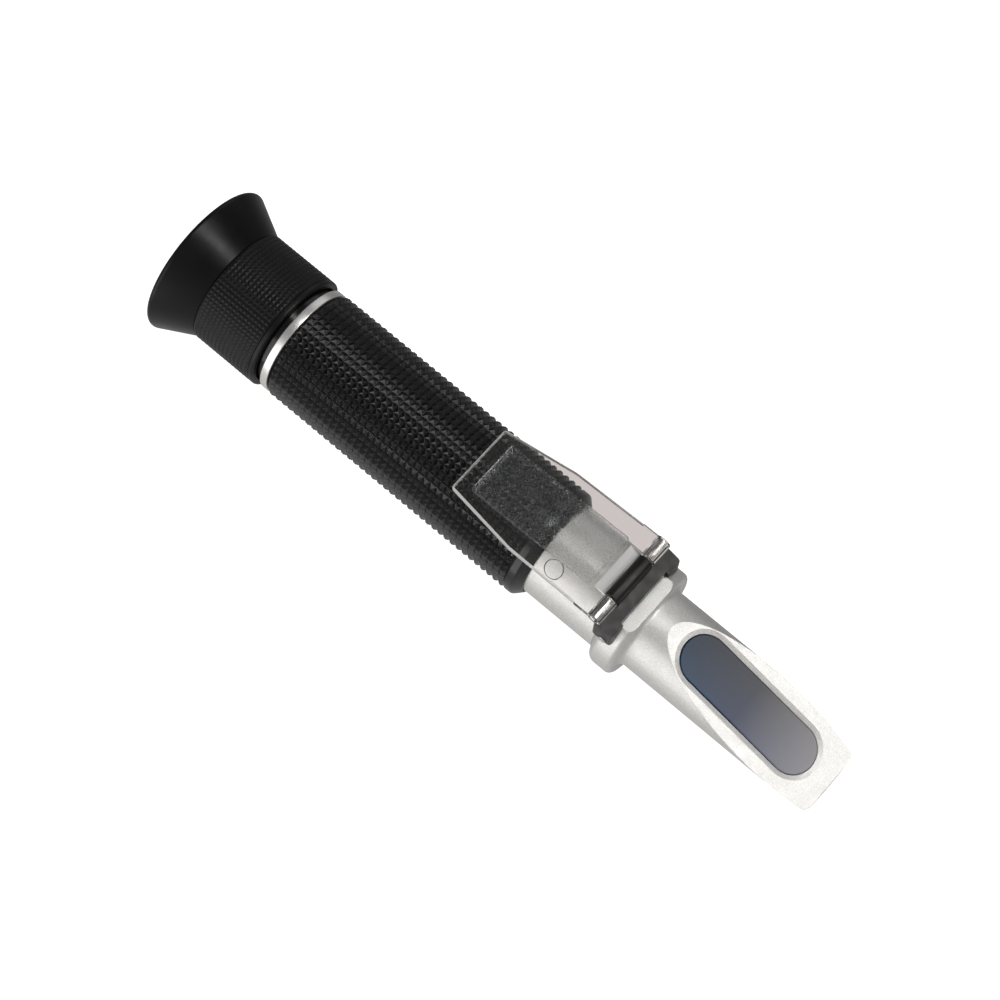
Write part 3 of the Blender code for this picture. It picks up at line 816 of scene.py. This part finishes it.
def make_flap(clear, cut_edge, frosted):
    place = flap_matrix()
    high = local_box("daylight_flap", place)[1]
    pad_low, pad_high = local_box("diffuser_pad", place)
    inner = pad_low.z - 0.05 * MM
    outer = inner - 1.5 * MM
    half = high.y
    kink_half = 10.35 * MM
    end_half = 8.0 * MM
    length = high.x
    kink = 21.7 * MM
    near = 2.1 * MM                 # edge next to the hinge
    slope = 1.7 * MM                # how far that edge leans away from the hinge
    edge = 0.28 * MM

    def outline(inset, corner, shift=0.0):
        points = [
            (near + shift, -half + inset),
            (kink, -kink_half + inset),
            (length - inset, -end_half + inset),
            (length - inset, end_half - inset),
            (kink, kink_half - inset),
            (near + shift, half - inset),
        ]
        return rounded_corners(points, corner)

    loops = [
        [(x, y, outer) for x, y in outline(edge, 0.5 * MM)],
        [(x, y, outer + edge) for x, y in outline(0.0, 0.7 * MM)],
        [(x, y, inner - edge) for x, y in outline(0.0, 0.7 * MM, slope)],
        [(x, y, inner) for x, y in outline(edge, 0.5 * MM, slope + edge)],
    ]
    plate = loft("daylight_flap_clear", loops)
    ear = 5.55 * MM
    extras = []
    for side in (-1, 1):
        web_low = (0.0, min(side * ear, side * half), outer)
        web_high = (5.0 * MM, max(side * ear, side * half), inner)
        extras.append(block("web", web_low, web_high))
        extras.append(bar("knuckle", (0, side * ear, 0), (0, side * half, 0), KNUCKLE_RADIUS, 96,
                          0.15 * MM))
    unite(plate, *extras)
    subtract(plate, bar("bore", (0, -14 * MM, 0), (0, 14 * MM, 0), PIN_HOLE_RADIUS, 64))
    place_piece(plate, "flap", "clear_plastic", clear, "daylight_flap")
    plate.data.materials.append(cut_edge)
    for face in plate.data.polygons:
        if face.center.x > near - edge and abs(face.normal.z) < 0.95:
            face.material_index = 1
    plate.data.transform(place)

    base = rounded_corners([(pad_low.x, pad_low.y), (pad_high.x, pad_low.y),
                            (pad_high.x, pad_high.y), (pad_low.x, pad_high.y)], 0.5 * MM)
    top = rounded_corners([(pad_low.x + edge, pad_low.y + edge), (pad_high.x - edge, pad_low.y + edge),
                           (pad_high.x - edge, pad_high.y - edge),
                           (pad_low.x + edge, pad_high.y - edge)], 0.4 * MM)
    pad = loft("diffuser_pad_frosted", [
        [(x, y, pad_low.z) for x, y in base],
        [(x, y, pad_high.z - edge) for x, y in base],
        [(x, y, pad_high.z) for x, y in top],
    ])
    pad.data.transform(place)
    place_piece(pad, "flap", "frosted_plastic", frosted, "diffuser_pad")


# ---------------------------------------------------------- inner pieces

def make_lens(name, node, body, surface, bulge):
    back, front, radius = reach(node)
    sphere = (radius * radius + bulge * bulge) / (2 * bulge)
    steps = 20
    outline = []
    for step in range(steps + 1):
        r = radius * step / steps
        outline.append((front - sphere + sqrt(sphere * sphere - r * r), r))
    for step in range(steps, -1, -1):
        r = radius * step / steps
        outline.append((back + sphere - sqrt(sphere * sphere - r * r), r))
    item = turned(name, outline, 96)
    place_piece(item, body, "lens_glass", surface, node)


def finish_inner_pieces(plastic, rubber, glass):
    """Pieces that keep their CAD shape and only need their own material."""
    for names, surface in (
        (("eyepiece_barrel", "lens_retainer", "field_lens_ring", "reticle_ring", "objective_cell"),
         plastic),
        (("barrel_seal", "prism_gasket"), rubber),
        (("reticle",), glass),
    ):
        for name in names:
            node = frame["nodes"][name]
            for slot in node.material_slots:
                slot.material = surface


# ------------------------------------------------------------------- stage

def stage_surface(name, colour, glow, strength):
    material = bpy.data.materials.new(name)
    material.use_nodes = True
    shader = material.node_tree.nodes["Principled BSDF"]
    shader.inputs["Base Color"].default_value = (*colour, 1.0)
    shader.inputs["Roughness"].default_value = 0.9
    shader.inputs["Emission Color"].default_value = (*glow, 1.0)
    shader.inputs["Emission Strength"].default_value = strength
    return material


def make_dome(name, radius, top, surface):
    """A sphere round the object, open above the height called top."""
    form = bmesh.new()
    bmesh.ops.create_uvsphere(form, u_segments=48, v_segments=24, radius=radius)
    above = [vertex for vertex in form.verts if vertex.co.z > top]
    bmesh.ops.delete(form, geom=above, context="VERTS")
    dome = finish_mesh(name, form, radians(60))
    dome.data.materials.append(surface)
    return dome


def make_stage(floor_height):
    """A white floor and backdrop, and a greyer backdrop that is seen through the clear plastic."""
    form = bmesh.new()
    bmesh.ops.create_circle(form, cap_ends=True, segments=96, radius=2.8)
    floor = finish_mesh("floor", form, None)
    floor.location = (0.0, 0.0, floor_height)
    floor.data.materials.append(stage_surface("floor white", (0.6, 0.6, 0.6), (1.0, 1.0, 1.0), 1.0))
    white = stage_surface("backdrop white", (0.0, 0.0, 0.0), (1.0, 1.0, 1.0), 1.1)
    grey = stage_surface("backdrop grey", (0.0, 0.0, 0.0), (1.0, 0.92, 0.90), 0.64)
    backdrop = make_dome("backdrop", 3.0, 3.0, white)
    beyond = make_dome("backdrop_seen_through", 3.2, 0.0, grey)
    for item in (floor, backdrop, beyond):
        item.visible_diffuse = False
        item.visible_glossy = False
        item.visible_shadow = False
        item.visible_transmission = item is beyond
        item.visible_camera = item is not beyond


def area_light(name, place, size, power, twist=0.0):
    """A softbox facing the object; its size is given along X and across."""
    away = Vector(place).normalized()
    across = away.cross(Vector((cos(twist), sin(twist), 0.0))).normalized()
    along = across.cross(away)
    lamp = bpy.data.lights.new(name, "AREA")
    lamp.shape = "RECTANGLE"
    lamp.size, lamp.size_y = size
    lamp.energy = power
    item = bpy.data.objects.new(name, lamp)
    bpy.context.scene.collection.objects.link(item)
    turn = Matrix((along, -across, away)).transposed()
    if turn.determinant() < 0:
        turn = Matrix((along, across, away)).transposed()
    item.matrix_world = Matrix.Translation(place) @ turn.to_4x4()


def make_lights():
    """A softbox overhead, a panel at the left, a weak fill and a room paler low on the left."""
    area_light("overhead softbox", (0.30, 0.20, 0.70), (1.10, 0.15), 3.3, radians(13))
    area_light("left panel", (-0.14, -0.70, 0.14), (0.6, 0.8), 1.9)
    area_light("right fill", (-0.15, 0.65, 0.30), (0.5, 0.5), 0.35)
    world = bpy.data.worlds.new("studio")
    world.use_nodes = True
    nodes = world.node_tree.nodes
    links = world.node_tree.links
    coords = nodes.new("ShaderNodeTexCoord")
    toward = nodes.new("ShaderNodeVectorMath")
    toward.operation = "DOT_PRODUCT"
    toward.inputs[1].default_value = (0.0, -0.707, -0.707)
    remap = nodes.new("ShaderNodeMapRange")
    remap.inputs["From Min"].default_value = -0.5
    remap.inputs["From Max"].default_value = 0.8
    remap.inputs["To Min"].default_value = 0.16
    remap.inputs["To Max"].default_value = 0.50
    links.new(coords.outputs["Generated"], toward.inputs[0])
    links.new(toward.outputs["Value"], remap.inputs["Value"])
    links.new(remap.outputs["Result"], nodes["Background"].inputs["Strength"])
    nodes["Background"].inputs["Color"].default_value = (1.0, 1.0, 1.0, 1.0)
    bpy.context.scene.world = world
    bpy.context.scene.view_settings.view_transform = "Standard"


def make_camera():
    """Long lens from above, from the nose's side, leaning towards -Y."""
    toward_nose = 0.2
    lean = radians(16.5)
    level = sqrt(1.0 - toward_nose ** 2)
    view = Vector((toward_nose, -level * sin(lean), level * cos(lean)))
    along = (Vector((1, 0, 0)) - view * view.x).normalized()
    across = view.cross(along)
    tilt = radians(39.5)            # how far the axis is turned in the picture
    distance = 0.5666
    right = along * cos(tilt) + across * sin(tilt)
    up = across * cos(tilt) - along * sin(tilt)
    aim = Vector((-0.00285, 0.0, 0.0)) + across * 0.00047
    data = bpy.data.cameras.new("camera")
    data.sensor_width = 36.0
    data.lens = 102.0
    data.clip_start = 0.01
    camera = bpy.data.objects.new("camera", data)
    bpy.context.scene.collection.objects.link(camera)
    turn = Matrix((right, up, view)).transposed().to_4x4()
    camera.matrix_world = Matrix.Translation(aim + view * distance) @ turn
    bpy.context.scene.camera = camera


def main():
    make_camera()
    make_lights()
    make_stage(cad_low.z - 0.0002)

    plastic = moulded_plastic()
    aluminium = blasted_aluminium()
    steel = ground_steel()
    lens = lens_glass()
    seal = seal_rubber()

    glass_low, glass_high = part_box("prism")

    make_eyecup(eyecup_rubber())
    make_focus_ring(ring_rubber())
    make_focus_core(glossy_black())
    make_bezel(turned_bright_metal())
    make_grip(grip_rubber())
    make_body_tube(aluminium)
    make_calibration(aluminium, steel)
    make_housing(aluminium)
    make_prism(prism_glass(glass_low, glass_high))
    make_hinge_block(plastic)
    make_hinge_pin(steel)
    make_wing_screws(steel)
    make_flap(clear_acrylic(), cut_acrylic(), frosted_acrylic())
    make_lens("eye_lens_polished", "eye_lens", "eyepiece", lens, 1.0 * MM)
    make_lens("field_lens_polished", "field_lens", "eyepiece", lens, 0.8 * MM)
    make_lens("objective_lens_polished", "objective_lens", "housing", lens, 0.8 * MM)
    finish_inner_pieces(plastic, seal, lens)


main()
